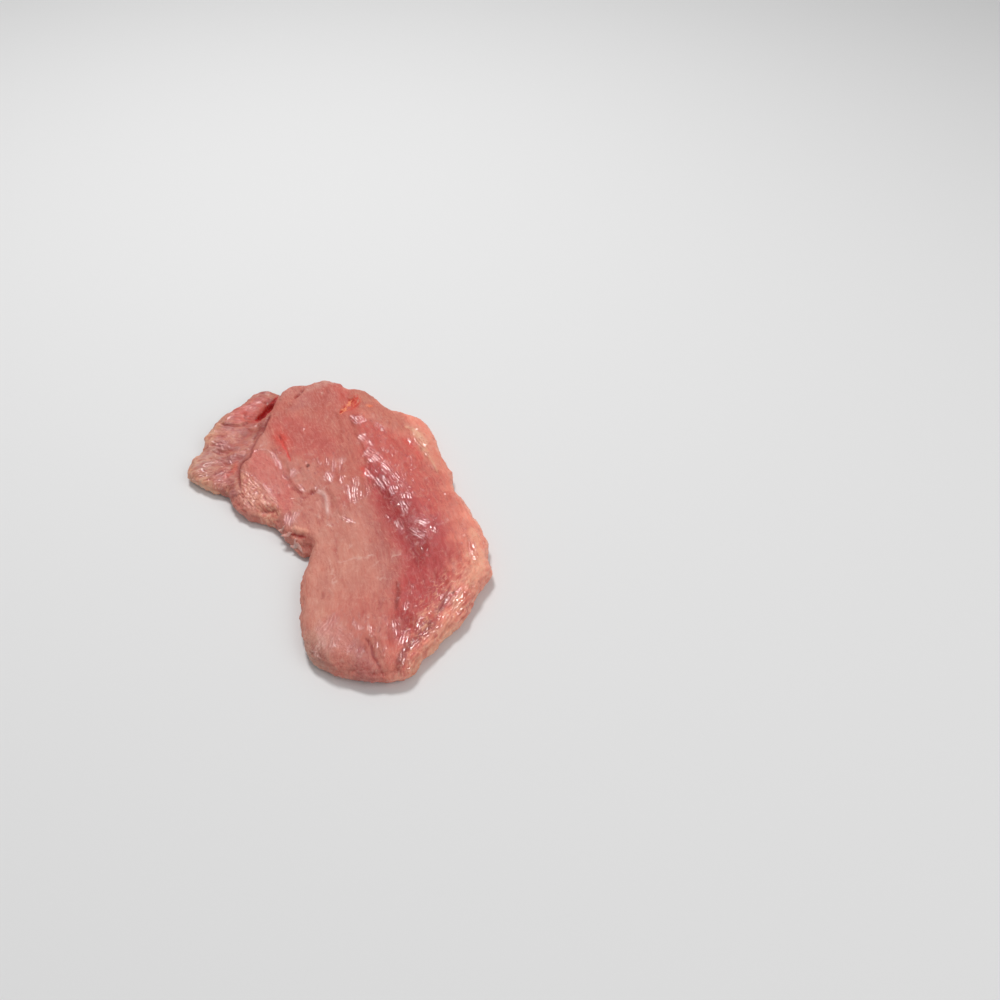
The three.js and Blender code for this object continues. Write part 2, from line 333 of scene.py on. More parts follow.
MEMBRANE_EDGE = [(-40.6, 32.4), (-36.4, 35.0), (-33.5, 34.3), (-30.7, 31.5), (-28.7, 28.1), (-26.8, 24.8),
                 (-24.8, 21.4), (-23.7, 16.6)]
groove(MEMBRANE_EDGE, -0.22, 0.9)
height -= 0.45 * upper * oval((-33.5, 27.0), (6.0, 6.5), 0, 0.6)
FAR_CREASE = [(-22.8, 78.5), (-24.2, 74.4), (-25.7, 71.2), (-27.6, 66.5)]
groove(FAR_CREASE, 1.1, 1.0, ends=0.4, where=aloft)
groove([(-27.6, 66.5), (-29.5, 59.0), (-33.5, 53.0)], 0.6, 2.6)
height -= 0.7 * upper * oval((-9.5, 7.4), (2.4, 1.2), 20, 0.6, 0.5)
height -= 0.7 * upper * oval((-11.0, 1.4), (4.2, 2.4), 20, 0.7)
net = ridged(turned(-44), (1.1, 2.4, 2.6), 91.0)
height += 0.18 * upper * oval((-33.5, 6.0), (6.0, 13.0), -50, 0.5) * net
HUMP_EDGE = [(-25.0, 22.0), (-20.5, 14.5), (-16.0, 8.0), (-12.5, 4.2), (-9.5, 6.6)]
groove(HUMP_EDGE, 0.5, 0.8, ends=0.2)
TORN_CORNER = [(-15.0, -16.2), (-12.0, -17.6), (-8.6, -18.0)]
groove(TORN_CORNER, 0.8, 0.8, where=aloft)
groove(moved(TORN_CORNER, 0.4, 2.4), -0.5, 1.1, where=aloft)
CORD = [(-8.1, 8.4), (-5.8, 7.7), (-3.7, 5.5), (-2.6, 2.7), (-1.6, -1.6), (-0.5, -7.7)]
groove(CORD, -0.5, 0.9)
NEAR_CREASE = [(31.0, -40.5), (32.2, -47.0), (32.3, -52.5), (32.4, -59.0)]
groove(NEAR_CREASE, 0.5, 0.9)
NEAR_FOLDS = (
    [(1.6, -13.0), (4.7, -23.0), (5.1, -33.0)],
    [(17.5, -46.0), (19.9, -55.0), (20.3, -61.0), (19.6, -67.0)],
    [(29.3, -57.0), (31.1, -64.0), (31.8, -70.0), (33.3, -76.0)],
    [(4.6, -75.0), (8.0, -80.0), (11.0, -83.5)],
    [(8.0, -74.0), (12.0, -80.0), (16.0, -84.5)],
    [(25.5, -46.0), (26.2, -53.0), (25.6, -60.0)],
)
for line in NEAR_FOLDS:
    groove(line, 0.3, 1.1, ends=0.45)
NOTCH = [(20.7, -71.0), (22.9, -71.6), (24.2, -73.5), (25.7, -77.9), (28.5, -82.7), (30.4, -86.5)]
groove(NOTCH, 0.45, 0.6, ends=0.3, where=aloft)
groove(moved(NOTCH[2:], -2.6, 0.0), 0.15, 2.6, where=aloft)
FAT_LUMPS = (((37.1, -77.9), 2.0, 0.5), ((40.8, -77.8), 1.7, 0.45), ((38.1, -81.6), 2.6, 0.6),
             ((60.9, -21.1), 2.2, 0.35), ((61.1, -28.7), 2.4, 0.35), ((56.0, -34.3), 2.0, 0.3))
for centre, size, rise in FAT_LUMPS:
    height += rise * aloft * oval(centre, (size, size * 1.3), 0, 0.9)
FAT_EDGE = [(27.5, 51.0), (31.5, 49.0), (34.6, 44.5), (35.9, 38.5), (38.0, 32.8), (40.8, 28.2),
            (43.6, 22.0)]
groove(FAT_EDGE, -0.6, 1.2)
for centre in ((31.4, 47.6), (34.5, 43.2), (36.8, 37.4), (40.3, 31.2), (43.5, 24.6)):
    height += 0.35 * aloft * oval(centre, (1.2, 2.2), 25, 0.9, 0.4)
SOFT_CREASE = [(-6.9, 63.4), (-4.7, 56.5), (-2.4, 50.0), (-1.9, 44.0), (-0.8, 36.9), (-0.3, 31.0)]
groove(SOFT_CREASE, 0.5, 1.2)
LONG_CREASE = [(-3.4, 61.8), (1.8, 53.4), (4.5, 46.8), (8.2, 38.2), (10.7, 32.6), (10.9, 25.0), (13.4, 15.6),
               (15.5, 8.8), (15.7, 1.5)]
overlap(LONG_CREASE, 0.15, 0.8, 4.0, ends=0.3)
for start, stop, depth in ((1, 3, 0.12), (4, 5, 0.3), (6, 8, 0.2)):
    groove(LONG_CREASE[start:stop + 1], depth, 0.7, ends=0.5)
TORN_TAIL = [(-4.0, 60.4), (-2.8, 63.4), (-1.6, 66.4), (-0.6, 70.0)]
torn_tail = upper * swath(TORN_TAIL, (0.4, 0.9, 1.2, 0.7), 0.7, 0.8)
torn = np.maximum(torn_tail, upper * oval((0.8, 68.2), (2.2, 3.4), -12, 0.6, 1.0))
shreds = ridged(turned(56), (1.1, 2.6, 1.6), 29.0)
torn *= eased(mottled(place, 1.9, 2, 97.0), -0.5, -0.1)
height += torn * (0.7 * shreds - 0.4)

# What rises past TOP_LEVEL is held down softly, so that the slice keeps the solid's thickness.
TOP_LEVEL = 10.7
TOP_ROOM = 0.5
places = place + height[:, None] * facing
over = np.maximum(places[:, 2] - TOP_LEVEL, 0)
places[:, 2] += TOP_ROOM * np.tanh(over / TOP_ROOM) - over
places[:, 2] = np.maximum(places[:, 2], 0)
put_places(skin_mesh, places * MM)
for polygon in skin_mesh.polygons:
    polygon.use_smooth = True

# How far each place lies below what surrounds it, in mm.
HOLLOW_ROUNDS = 14
hollow = relaxed(height[:, None], skin_edges, HOLLOW_ROUNDS, RELAX_SHARE)[:, 0] - height


# The colour of the meat
# Lean pork is a soft rose pink, darker and redder down the wet middle, and peach along the right rim,
# where fat and sinew show. The flap is tanner, with a milky haze over it. Creases, folds and hollows are
# painted darker as shade, and a few swells and rims paler as light.


def shade(red, green, blue):
    """A colour named by its screen values, as light."""
    values = np.array((red, green, blue)) / 255
    return np.where(values < 0.04045, values / 12.92, ((values + 0.055) / 1.055) ** 2.4)


def paint(colour, mask):
    """Lays a colour over the meat, as strongly as the mask says."""
    mask = np.clip(mask, 0, 1)[:, None]
    tone[:] = tone + mask * (colour - tone)


EDGE_REACH = 40.0
twist = mottled(place, (2.4, 2.4, 6.0), 2, 83.0)


def streak(points, width, ends=0.2, wiggle=0.0):
    """1 on a line, fading beside it and to its ends. It may wiggle by some mm."""
    near, off, along = beside(points, 3 * width + wiggle)
    off = off + wiggle * twist[near]
    found = np.zeros(len(place))
    found[near] = upper[near] * faded(along, ends) * np.exp(-(off / width) ** 2)
    return found


def edge_of(points, soft):
    """1 on the left of a line as far as EDGE_REACH, 0 elsewhere, soft and a little ragged along the line."""
    near, off, along = beside(points, EDGE_REACH)
    found = np.zeros(len(place))
    found[near] = eased(off + 0.5 * soft * drift[near], -soft, soft)
    return found


PINK = shade(205, 132, 117)
PALE_PINK = shade(211, 144, 126)
DUSKY_PINK = shade(199, 114, 99)
ROSE = shade(206, 97, 86)
DARK_ROSE = shade(189, 74, 74)
DEEP_ROSE = shade(158, 20, 26)
PEACH = shade(245, 155, 132)
SALMON = shade(203, 120, 102)
TAN = shade(202, 125, 105)
BEIGE = shade(208, 160, 142)
FLUSH = shade(212, 106, 92)
RED = shade(222, 76, 62)
# A dark red painted into creases and hollows, as the shade that falls in them.
CREASE_SHADE = shade(150, 50, 46)
SINEW = shade(228, 192, 178)
CREAM = shade(240, 184, 150)
tone = np.tile(PINK, (len(place), 1))

paint(DUSKY_PINK, swath([(-36, 60), (-22, 55), (-6, 40), (4, 20)], (8, 26, 22, 8), 0.5, 0.3))
paint(shade(199, 100, 91), 0.8 * swath([(-30, 52), (-20, 44), (-10, 36)], (6, 12, 8), 0.7, 0.4))
paint(shade(186, 118, 112), 0.5 * swath([(-26, 62), (-21, 68), (-10, 72)], (2.5, 5.0, 4.0), 0.8, 0.6))
paint(shade(196, 104, 91), 0.8 * swath([(-13, 76), (-12, 69), (-9, 61)], (5.0, 7.0, 4.0), 0.7, 0.4))
paint(shade(206, 156, 144), 0.6 * swath([(-20, 76), (-15.5, 80), (-10, 81.5)], (1.5, 2.4, 1.6), 0.9, 0.6))
ROSE_LEFT = [(-14, 100), (-9, 80), (-4, 66), (3, 54), (8, 40), (10.5, 26), (16, 8), (22, -6), (28, -19),
             (33.5, -30), (31.5, -42), (30, -54), (29, -64), (32, -78), (34, -104)]
ROSE_RIGHT = [(-6, 104), (0, 82), (6, 66), (20, 53), (30.5, 43), (43, 25), (52, 0), (56, -25), (54, -46),
              (46.5, -60), (40, -71), (35, -83), (34, -108)]
rose = edge_of(ROSE_LEFT, 5.0) * (1 - edge_of(ROSE_RIGHT, 8.0))
# A mauve band along the rose's left border is painted shade, where the near lobe dips into the dark middle.
paint(shade(186, 108, 100), 0.75 * upper * swath(ROSE_LEFT[6:11], (2.0, 6.0, 8.0, 9.0, 5.0), 0.8, 0.6))
paint(ROSE, rose * upper)
DARK_MIDDLE = [(14, 22), (24, 6), (33, -10), (42, -30), (42, -52), (36, -70)]
paint(DARK_ROSE, rose * upper * swath(DARK_MIDDLE, (4.0, 9.0, 12.0, 13.0, 11.0, 6.0), 0.5, 0.3))
DEEPEST = [(18, 16), (24, 4), (31, -9), (36, -20), (39, -31)]
paint(DEEP_ROSE, 0.9 * rose * upper * swath(DEEPEST, (2.0, 4.0, 5.0, 5.0, 3.0), 0.8, 0.8))
paint(DEEP_ROSE, 0.55 * upper * swath([(35, -60), (40, -63), (43.5, -66)], (3.0, 6.0, 4.0), 0.8, 0.6))
paint(PEACH, edge_of(ROSE_RIGHT, 8.0) * aloft)
paint(shade(214, 116, 102), 0.4 * upper * swath([(41, 26), (48, 8), (54, -14)], (3.0, 5.0, 3.0), 0.8, 0.4))
# The steep side of the right rim is painted paler, as light on it.
paint(shade(246, 182, 160), 0.6 * rim * edge_of(ROSE_RIGHT, 8.0))
paint(shade(206, 112, 100), 0.45 * rim * eased(-rim_strands, -0.5, 0.3))
paint(SALMON, swath([(4, 74), (14, 62), (26, 51)], (5.0, 7.0, 4.0), 0.6, 0.3))
paint(TAN, 0.9 * aloft * oval((6.8, 73.0), (5.0, 6.0), -30, 0.5, 0.3))
paint(PALE_PINK, 0.8 * swath([(-2, -24), (2, -42), (4, -66)], (14.0, 17.0, 12.0), 0.6, 0.3))
paint(shade(200, 160, 140), 0.7 * aloft * oval((3.0, -76.0), (8.0, 5.5), -35, 0.7, 0.5))
paint(shade(202, 118, 104), 0.9 * oval((20, -62), (10, 14), 10, 0.8, 0.4) * upper)
NEAR_SHADOW = [(19.0, -73.0), (22.0, -79.0), (24.0, -85.0)]
paint(shade(184, 112, 106), 0.7 * swath(NEAR_SHADOW, (1.5, 4.0, 4.0), 0.7, 0.2))
INNER_RIM = [(52.4, -45.2), (49.4, -54.8), (46.4, -61.9), (42.3, -69.2), (37.9, -74.8), (35.7, -80.2),
             (35.2, -83.2)]
# Painted shade in the crease between the near rim and the lobe.
paint(CREASE_SHADE, 0.85 * aloft * swath(INNER_RIM, (0.6, 1.2, 2.0, 1.8, 1.2, 1.4, 1.0), 0.9, 0.9))
FAT_RIM = moved(INNER_RIM, 5, -3)
paint(CREAM, 0.7 * aloft * swath(FAT_RIM, (1.0, 3.0, 3.0, 2.5, 2.5, 2.0, 1.0), 0.7, 1.2))
lace = ridged(turned(60), (1.7, 5.0, 3.0), 47.0)
paint(shade(200, 70, 58), 0.62 * near_rim * eased(-lace, -0.45, 0.3))
paint(shade(252, 202, 168), 0.8 * near_rim * eased(lace, 0.72, 1.0))
RIGHT_RIM = [(60.8, -14), (63.0, -30), (60.5, -44)]
paint(shade(250, 198, 164), 0.5 * aloft * swath(RIGHT_RIM, (1.5, 3.0, 2.0), 0.8, 0.8))
flap = eased(flap_side - place[:, 0] - 2.0 * np.abs(drift), -2.5, 1.5)
paint(shade(192, 114, 98), flap)
paint(BEIGE, flap * oval((-63, 24), (8, 15), -20, 0.5, 0.2))
FLAP_DIP = [(-42, 47), (-48, 42), (-55, 37)]
# Painted shade in the flap's fold.
paint(shade(176, 112, 106), 0.5 * flap * swath(FLAP_DIP, (3.0, 3.5, 2.0), 0.8, 0.6))
FLAP_SWELL = [(-60, 47), (-54, 46), (-47, 40)]
# Painted light on the flap's swell.
paint(shade(216, 142, 124), 0.75 * flap * swath(FLAP_SWELL, (3.0, 4.5, 3.0), 0.8, 0.6))
haze = mottled(place, (5.0, 4.0, 5.0), 3, 95.0)
paint(shade(182, 122, 122), 0.55 * flap * eased(haze, 0.0, 0.45))
paint(shade(214, 158, 134), 0.5 * flap * eased(-haze, 0.05, 0.45))
FLAP_RIM = [(-55.0, 60.5), (-60.4, 50.2), (-63.4, 42.8), (-65.6, 35.0), (-67.2, 26.0), (-65.6, 19.6),
            (-55.5, 13.2), (-47.0, 6.5)]
flap_rim = swath(FLAP_RIM, (1.0, 2.0, 2.2, 2.0, 2.6, 2.8, 2.0, 1.0), 1.0, 0.9)
paint(shade(232, 182, 148), 0.75 * flap * aloft * flap_rim)
FLAP_ROOT = [(-46.5, 28.0), (-46.0, 22.5), (-49.5, 18.5)]
paint(shade(226, 104, 82), 0.6 * aloft * swath(FLAP_ROOT, (0.8, 2.0, 1.4), 0.9, 0.6))
paint(FLUSH, 0.9 * oval((-46.0, 62.5), (10.5, 6.5), 35, 0.35, 0.2))
HUMP = [(-37.0, 31.0), (-33.0, 22.0), (-25.0, 10.0), (-19.0, -2.0)]
paint(shade(214, 122, 112), 0.85 * swath(HUMP, (3.5, 7.0, 6.5, 3.0), 0.4, 0.2))
HUMP_CREST = [(-31.0, 21.0), (-28.0, 16.0), (-22.0, 6.0)]
paint(shade(217, 140, 128), 0.45 * swath(HUMP_CREST, (2.0, 3.0, 2.0), 0.8, 0.6))
SINEW_BAND = [(-42.0, 15.0), (-36.0, 7.5), (-29.0, 0.5), (-24.0, -5.0)]
band = aloft * swath(SINEW_BAND, (3.0, 4.8, 4.8, 3.0), 0.4, 0.3)
paint(shade(222, 146, 124), 0.75 * band)
paint(shade(248, 206, 174), 0.8 * band * eased(net, 0.5, 1.0))
paint(shade(206, 104, 86), 0.4 * band * eased(-net, -0.3, 0.5))
paint(shade(192, 100, 90), 0.8 * oval((5.5, 1.5), (3.0, 7.0), 0, 0.8, 0.5))
paint(RED, 0.75 * oval((-28.6, 41.5), (3.0, 7.0), 25, 0.95, 0.3))
# Painted shade in the hollow by the torn corner.
paint(CREASE_SHADE, 0.45 * aloft * oval((-7.5, -20.5), (3.0, 3.5), 0, 0.7, 0.4))
bundles = mottled(fibre, (2.2, 9.0, 2.2), 3, 15.0)
clouds = mottled(place, (9.0, 12.0, 9.0), 3, 27.0)
tone *= 1 + (0.08 * bundles + 0.13 * clouds)[:, None] * (0.6, 1.0, 0.9)
# The near lobe's folds are painted a darker pink, as shade in them.
for line in NEAR_FOLDS:
    paint(shade(184, 96, 88), 0.4 * streak(line, 1.2, 0.45))
peach = edge_of(ROSE_RIGHT, 4.0) * aloft
# Hollows are painted a darker red, as the shade that falls in them, less on the peach rim.
paint(shade(180, 82, 72), upper * np.clip(hollow / 0.25, 0, 1) * (0.75 - 0.5 * peach))
# Painted shade along the flap's crease, the far and near creases and the notch.
paint(CREASE_SHADE, (0.6 + 0.5 * drift) * streak(FLAP_CREASE, 1.1, 0.1))
paint(CREASE_SHADE, 0.8 * swath([(-37, 57), (-39.5, 50), (-41.5, 44)], (1.0, 2.2, 1.0), 0.8, 0.3) * aloft)
paint(CREASE_SHADE, 0.7 * streak(FAR_CREASE, 0.9, 0.4))
paint(CREASE_SHADE, 0.8 * streak(NEAR_CREASE, 0.9))
paint(shade(140, 46, 50), 0.75 * streak(NOTCH, 0.5, 0.3))
TORN_LIP = moved(TORN_CORNER, 0.4, 2.4)
paint(shade(240, 176, 150), 0.6 * aloft * swath(TORN_LIP, (0.8, 1.2, 0.8), 0.8))
paint(shade(170, 44, 42), 0.8 * aloft * swath(TORN_CORNER, (0.2, 0.5, 0.3), 0.9, 0.6))
# A darker red line along the hump's edge, painted shade in its crease.
paint(shade(168, 60, 56), (0.55 + 0.6 * drift) * streak(HUMP_EDGE, 0.8, 0.2, wiggle=1.0))
paint(shade(228, 62, 52), 0.9 * streak(VESSEL, 0.5, 0.3, wiggle=0.4))
paint(shade(128, 10, 14), 0.9 * streak(VESSEL[:2], 0.4, 0.5))
BLOOD_SPOT = (-13.6, 23.5)
paint(shade(112, 12, 8), upper * oval(BLOOD_SPOT, (0.75, 1.05), 0, 0.35))
paint(shade(236, 202, 192), 0.85 * streak(CORD, 0.85, 0.12))
paint(shade(150, 60, 56), 0.4 * streak(moved(CORD[1:], -1.7, -0.4), 0.5, 0.3))
paint(shade(190, 14, 20), 1.2 * aloft * swath(SLIT, (0.3, 1.0, 1.4, 1.0, 0.3), 0.5))
# The pit is painted a darker red, as the shade in it.
paint(shade(150, 34, 36), 0.85 * upper * oval((-9.3, 7.2), (1.5, 1.1), 20, 0.8, 0.8))
paint(RED, 0.7 * streak([(9.6, 25.5), (11.9, 21.7), (10.6, 17.4)], 1.2))
paint(shade(214, 66, 50), 0.85 * torn)
# The shreds' crests are painted pale orange: partly their own paler colour, partly a painted highlight.
paint(shade(250, 170, 124), 0.9 * torn * eased(shreds + 0.7 * torn_tail, 0.7, 1.2))
paint(shade(236, 132, 84), 0.8 * upper * oval((9.2, 66.4), (1.6, 0.9), -20, 0.6, 0.6))
fat_side = swath(moved(FAT_EDGE, 1.2, 0.0), (2.0, 3.0, 3.4, 3.4, 3.0, 2.0), 0.8, 0.8)
paint(shade(228, 150, 126), 0.7 * upper * fat_side)
fat_crest = swath(FAT_EDGE, (0.5, 1.2, 1.6, 1.3, 0.9, 0.7, 0.5), 0.9, 1.1)
paint(shade(238, 190, 158), 0.8 * upper * fat_crest)
paint(RED, 0.6 * upper * swath([(27.5, 42.0), (32.0, 37.0), (36.0, 30.0)], (1.0, 1.8, 1.2), 0.9, 1.1))
PALE_EDGES = (
    BAND_EDGE,
    MEMBRANE_EDGE,
    [(-6.9, 2.0), (-4.6, -2.4), (-4.0, -8.0)],
    [(2.4, -3.0), (4.0, -7.0), (8.2, -10.5)],
)
for line in PALE_EDGES:
    pale_edge = swath(line, (0.3, 0.5, 0.35, 0.5, 0.4, 0.3), 0.9, 0.5)
    paint(shade(238, 190, 174), 0.6 * eased(drift, -0.3, 0.2) * pale_edge)
HAIRLINES = (
    [(32.4, -24.4), (30.5, -26.4), (28.4, -28.5), (27.8, -30.9)],
    [(23.4, -42.1), (25.3, -41.3), (29.7, -40.9)],
    [(17.7, -30.4), (21.3, -28.6)],
    [(-0.7, -13.3), (1.7, -11.6)],
    [(20.8, -36.5), (21.8, -33.1), (24.0, -31.0)],
    [(5.2, -33.9), (9.2, -32.4), (13.8, -31.6), (18.3, -31.2), (20.8, -29.4)],
    [(11.9, -23.7), (9.5, -26.7)],
    [(3.5, -28.5), (5.2, -38.2), (6.7, -43.4), (6.9, -48.1)],
)
for line in HAIRLINES:
    paint(SINEW, (0.55 + 0.5 * drift) * streak(line, 0.42, 0.3, wiggle=1.6))
# A small dark red mark, partly the meat's own and partly a painted shadow.
paint(shade(156, 62, 52), 0.55 * oval((3.6, -51.0), (0.7, 2.0), 10, 0.8, 0.5) * upper)
paint(shade(120, 84, 56), 0.7 * oval((53.9, -48.0), (0.9, 0.5), 20, 0.6) * upper)


# The wet sheen
# Juice stands on the cut in small drops and films, most of all over the dark middle and along the near rim.
# Where it is thickest it lies over fine ridges, which begin at RIDGES_FROM and are full at RIDGES_FULL.
RIDGES_FROM = 0.35
RIDGES_FULL = 0.75
PATCH_SOFTNESS = 0.6
wet = np.full(len(place), 0.16)
strokes = fibre.copy()
flank = np.tile((0.93, 0.36), (len(place), 1))
patch_of = np.zeros(len(place), int)
nearest_patch = np.full(len(place), 2.0)


def moisten(share, mask):
    """Brings the wetness towards a share, as strongly as the mask says."""
    wet[:] = wet + np.clip(mask, 0, 1) * (share - wet)


def glisten(patches, share=1.0, ragged=0.8):
    """Patches of wet ridges: each has its centre, its half sizes across and along, and its direction."""
    for centre, size, degrees in patches:
        moisten(share, oval(centre, size, degrees - 90, PATCH_SOFTNESS, ragged))
        local = turned(degrees) - turned(degrees, np.array([(*centre, 0.0)]))
        away = np.hypot(*(local[:, :2] / size).T)
        inside = away < nearest_patch
        strokes[inside] = (local + wander)[inside]
        flank[inside] = (math.sin(math.radians(degrees)), -math.cos(math.radians(degrees)))
        nearest_patch[inside] = away[inside]
        patch_of[inside] = patch_of.max() + 1


moisten(0.06, oval((5, -44), (19, 30), 0, 0.4, 0.2))
moisten(0.11, oval((-17, 50), (16, 24), 20, 0.5, 0.2))
WET_MIDDLE = [(12, 60), (14, 42), (22, 24), (32, 6), (39, -12), (36, -24)]
moisten(0.3, swath(WET_MIDDLE, (3.0, 6.0, 9.0, 9.0, 9.0, 6.0), 0.6, 0.5))

drops = upper * eased(mottled(fibre, (1.3, 2.4, 1.3), 2, 55.0), 0.18, 0.42)
DROPS_MIDDLE = [(8, 58), (16, 42), (22, 26), (30, 8), (38, -10), (41, -26)]
DROPS_NEAR = [(4, -70), (18, -68), (32, -64), (40, -46)]
DROPS_HUMP = [(-30, 32), (-24, 20), (-18, 8), (-14, -6)]
DROPS_RIGHT = [(38, 20), (50, 0), (58, -20), (60, -40)]
moisten(0.95, drops * swath(DROPS_MIDDLE, (4.0, 6.0, 9.0, 9.0, 8.0, 4.0), 0.5, 0.6))
moisten(0.8, drops * oval((-8.0, 20.0), (10.0, 12.0), 0, 0.6, 0.5))
moisten(0.75, drops * swath(DROPS_NEAR, (7.0, 9.0, 9.0, 7.0), 0.7, 0.6))
moisten(0.7, drops * swath(DROPS_HUMP, (5.0, 6.0, 5.0, 4.0), 0.7, 0.6))
moisten(0.6, drops * swath(DROPS_RIGHT, (4.0, 5.0, 5.0, 5.0), 0.7, 0.6))
moisten(0.95, drops * swath(FAT_EDGE, (1.5, 2.5, 3.0, 3.0, 2.5, 2.0, 1.5), 0.6, 0.6))
moisten(0.45, 0.9 * on_flap * upper)
moisten(0.95, drops * on_flap)
moisten(0.6, oval((-33.0, 5.5), (9.0, 7.0), -42, 0.7, 0.5))
moisten(0.4, oval((5.0, -74.0), (9.0, 7.0), -20, 0.7, 0.5))
moisten(0.75, swath(moved(INNER_RIM, 4, -2), (4.0, 5.0, 5.0, 5.0, 4.0, 4.0, 3.0), 0.7, 0.8))

# Over the dark middle
glisten([((12.0, 33.0), (2.4, 3.0), 128), ((16.0, 28.5), (2.6, 4.0), 128), ((21.2, 23.2), (2.8, 4.5), 128),
         ((26.0, 17.5), (3.0, 3.5), 128), ((14.5, 20.0), (2.4, 3.6), 122), ((20.0, 13.5), (3.0, 4.6), 122),
         ((26.0, 10.0), (2.6, 2.6), 122), ((9.3, 8.6), (4.6, 6.4), 98), ((30.8, 6.4), (2.6, 3.0), 112),
         ((30.6, -0.5), (2.4, 3.4), 112)])
glisten([((39.0, -10.0), (2.0, 4.4), 152), ((38.9, -16.6), (2.2, 3.6), 142),
         ((29.4, -11.0), (1.4, 1.9), 120), ((24.5, -6.0), (1.0, 2.0), 120),
         ((43.5, -13.0), (1.2, 2.4), 130)])
# Beside the long crease
glisten([((5.0, 55.2), (1.8, 4.0), 128), ((8.6, 43.2), (1.8, 3.2), 132), ((12.4, 39.8), (1.4, 2.6), 128),
         ((16.0, 50.5), (0.8, 3.0), 125), ((-2.3, 24.8), (1.2, 3.4), 95), ((0.9, 25.6), (1.4, 4.4), 92),
         ((-3.0, 16.6), (1.8, 3.4), 112), ((2.2, 15.5), (1.4, 3.0), 100), ((-5.5, 27.0), (0.9, 2.4), 95)])
# Along the fat edge, the right side and the near rim
glisten([((35.0, 39.2), (1.5, 3.6), 118), ((38.6, 31.4), (1.0, 2.4), 118), ((30.6, 40.0), (0.8, 2.6), 130),
         ((60.8, -25.8), (1.6, 5.0), 100), ((58.6, -52.0), (6.0, 7.5), 60), ((50.5, -60.5), (4.0, 5.0), 58),
         ((44.9, -58.6), (1.6, 2.0), 70), ((45.0, -68.0), (2.4, 4.6), 52), ((41.0, -73.0), (1.8, 3.4), 50)])
glisten([((36.6, -70.9), (2.0, 3.4), 85), ((37.1, -77.5), (1.6, 2.8), 92), ((40.7, -78.0), (1.8, 2.0), 60),
         ((33.0, -66.0), (1.2, 3.6), 104), ((21.4, -76.4), (1.4, 2.4), 62), ((25.9, -73.8), (1.6, 1.8), 90),
         ((14.5, -69.0), (0.9, 3.2), 150), ((36.0, -56.0), (1.0, 2.4), 95), ((41.5, -64.0), (1.2, 2.6), 80)])
# On the flap and its fold
glisten([((-61.4, 20.0), (2.0, 3.4), 24), ((-58.6, 24.4), (1.6, 3.6), 22), ((-55.0, 28.6), (1.2, 3.2), 22),
         ((-50.1, 20.6), (2.2, 3.0), 62), ((-50.4, 29.8), (0.9, 2.8), 118), ((-47.6, 64.6), (1.7, 3.2), 45),
         ((-55.4, 56.0), (1.6, 2.8), 35), ((-52.0, 13.0), (2.4, 4.0), 60), ((-47.6, 58.5), (0.8, 3.0), 30),
         ((-39.0, 70.0), (1.4, 2.6), 50)], ragged=0.4)
glisten([((-51.0, 60.6), (1.0, 2.4), 40), ((-44.0, 69.5), (1.2, 2.4), 45)], 0.9, 0.3)
# On the hump's edge and the torn corner
glisten([((-19.7, 18.8), (2.4, 3.0), 62), ((-22.3, 16.6), (1.4, 1.8), 120), ((-14.6, 9.2), (1.6, 2.4), 128),
         ((-7.5, 9.0), (1.0, 2.0), 120), ((-17.0, -10.3), (3.2, 3.8), 85),
         ((-19.6, 48.3), (0.9, 1.2), 100)])
moisten(0.55, swath(CORD[2:], (0.4, 0.7, 0.7, 0.4), 0.8))
for line in PALE_EDGES[:2]:
    moisten(0.85, swath(line, (0.5, 0.9, 0.6, 0.9, 0.6, 0.5), 0.8, 1.0))
moisten(0.0, oval(BLOOD_SPOT, (1.6, 1.4), 0, 0.4))
# Thinner juice: on the near lobe, on the sinew band and the flap, and here and there
glisten([((13.9, -68.8), (1.6, 3.0), 150), ((7.3, -66.1), (2.4, 4.2), 66), ((5.6, -76.6), (3.2, 4.6), 40),
         ((18.6, -66.0), (0.9, 3.0), 120), ((10.0, -74.5), (1.6, 3.4), 75), ((28.6, -62.0), (0.8, 3.6), 112),
         ((24.0, -68.2), (0.9, 2.6), 100), ((30.0, -76.0), (1.0, 3.0), 80), ((17.0, -77.0), (1.2, 2.6), 60)],
        0.65)
glisten([((-34.5, 6.0), (4.0, 9.0), 132), ((-54.4, 39.0), (2.8, 4.2), 128)], 0.62)
glisten([((8.5, -9.6), (1.2, 2.8), 150), ((1.0, -11.5), (0.8, 2.2), 150), ((31.5, 49.8), (1.0, 2.6), 150)],
        0.8)

# Steep sides stay nearly dry. Where the ridges of two patches would meet, both fade out first.
moisten(0.25, 1 - eased(facing[:, 2], 0.12, 0.42))
meeting = np.unique(skin_edges[patch_of[skin_edges[:, 0]] != patch_of[skin_edges[:, 1]]])
whole = np.ones(len(place))
whole[meeting] = 0
whole = relaxed(whole[:, None], skin_edges, 1, RELAX_SHARE)[:, 0]
whole[meeting] = 0
wet = np.where(wet > RIDGES_FROM, RIDGES_FROM + (wet - RIDGES_FROM) * whole, wet)

# The wet skin leans so that the lamp above and behind glances off the ridges' flanks towards the viewer, as
# it does in the photograph.
KEY_PLACE = Vector((-140.0, 480.0, 980.0)) * MM
FLANK_SLOPE = 0.18
LEAN_ROUNDS = 10
LEAN_LIMIT = 0.75
STEEPEST = 0.3


def way_to(spot):
    """The direction from each place to a spot."""
    way = np.array(spot / MM) - place
    return way / np.linalg.norm(way, axis=1)[:, None]


halfway = way_to(KEY_PLACE) + way_to(CAMERA_PLACE)
glance = -halfway[:, :2] / halfway[:, 2:]
around = relaxed(numbers_of(skin_mesh.vertices, "normal", 3), skin_edges, LEAN_ROUNDS, RELAX_SHARE)
slope = -around[:, :2] / np.maximum(around[:, 2:], STEEPEST)
wanted = np.clip(glance + FLANK_SLOPE * flank - slope, -LEAN_LIMIT, LEAN_LIMIT)
lean = np.hstack([-wanted, np.zeros((len(place), 1))])


